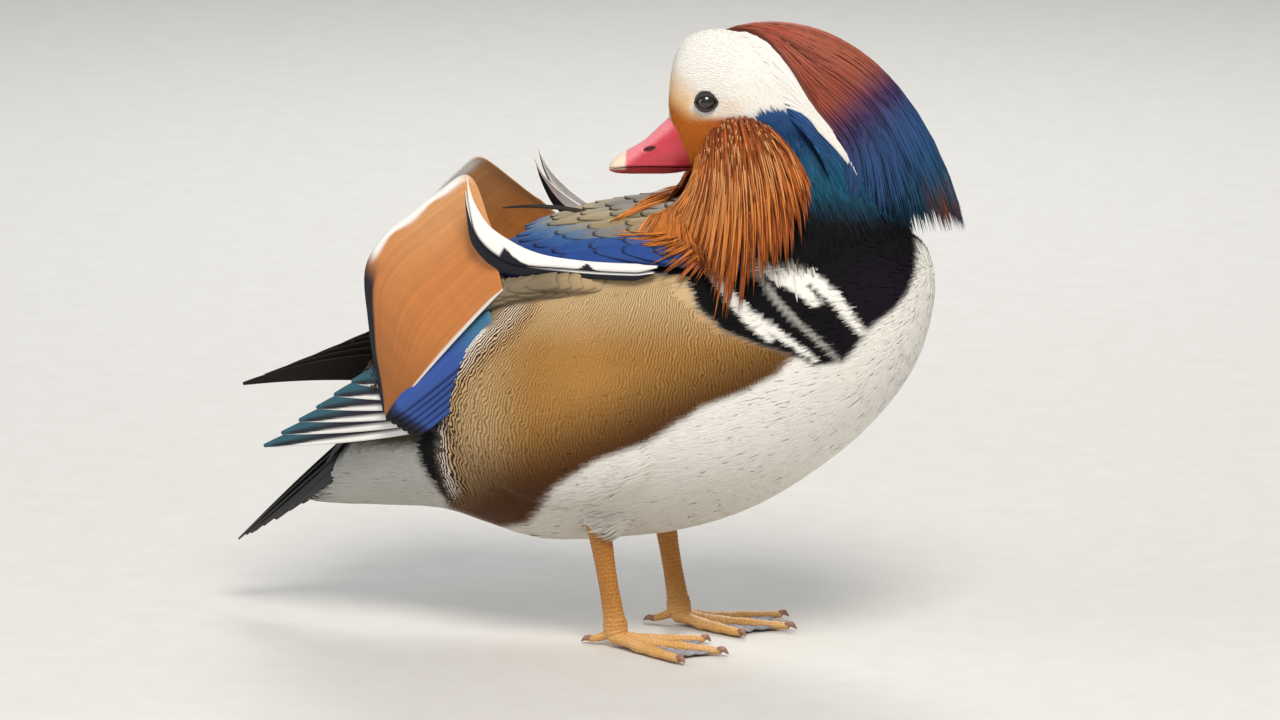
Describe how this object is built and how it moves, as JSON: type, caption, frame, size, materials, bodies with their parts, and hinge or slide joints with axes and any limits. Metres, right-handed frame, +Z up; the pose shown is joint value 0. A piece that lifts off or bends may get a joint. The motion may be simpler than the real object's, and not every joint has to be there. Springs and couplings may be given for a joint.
{
  "type": "mandarin drake model",
  "caption": "Still, life-size mandarin drake that stands on webbed feet with its head turned back, crest, ruff and sail feathers raised.",
  "frame": {"origin": "middle of the bird's outer box in plan, on the floor under its feet", "axes": "+X towards the breast, +Y towards the bird's left, +Z up"},
  "size_m": [0.3308, 0.12, 0.2771],
  "materials": {
    "body_plumage": "matt, fine barred feathers",
    "neck_plumage": "soft dark sheen",
    "face_plumage": "matt, short dense feathers",
    "crest_plumage": "silky",
    "ruff_plumage": "silky",
    "flight_feathers": "satin",
    "sail_feather": "satin",
    "shoulder_feather": "satin",
    "tail_feathers": "satin",
    "bill": "smooth horn",
    "eye": "wet gloss",
    "leg_skin": "scaled skin"
  },
  "bodies": {
    "root": {"torso": "body_plumage", "neck": "neck_plumage", "head": "face_plumage", "bill_upper": "bill", "bill_lower": "bill", "crest": "crest_plumage", "tail": "tail_feathers", "eye_left": "eye", "eye_right": "eye", "ruff_left": "ruff_plumage", "ruff_right": "ruff_plumage", "wing_left": "flight_feathers", "wing_right": "flight_feathers", "sail_left": "sail_feather", "sail_right": "sail_feather", "curl_left": "shoulder_feather", "curl_right": "shoulder_feather", "leg_left": "leg_skin", "leg_right": "leg_skin", "foot_left": "leg_skin", "foot_right": "leg_skin"}
  },
  "joints": []
}
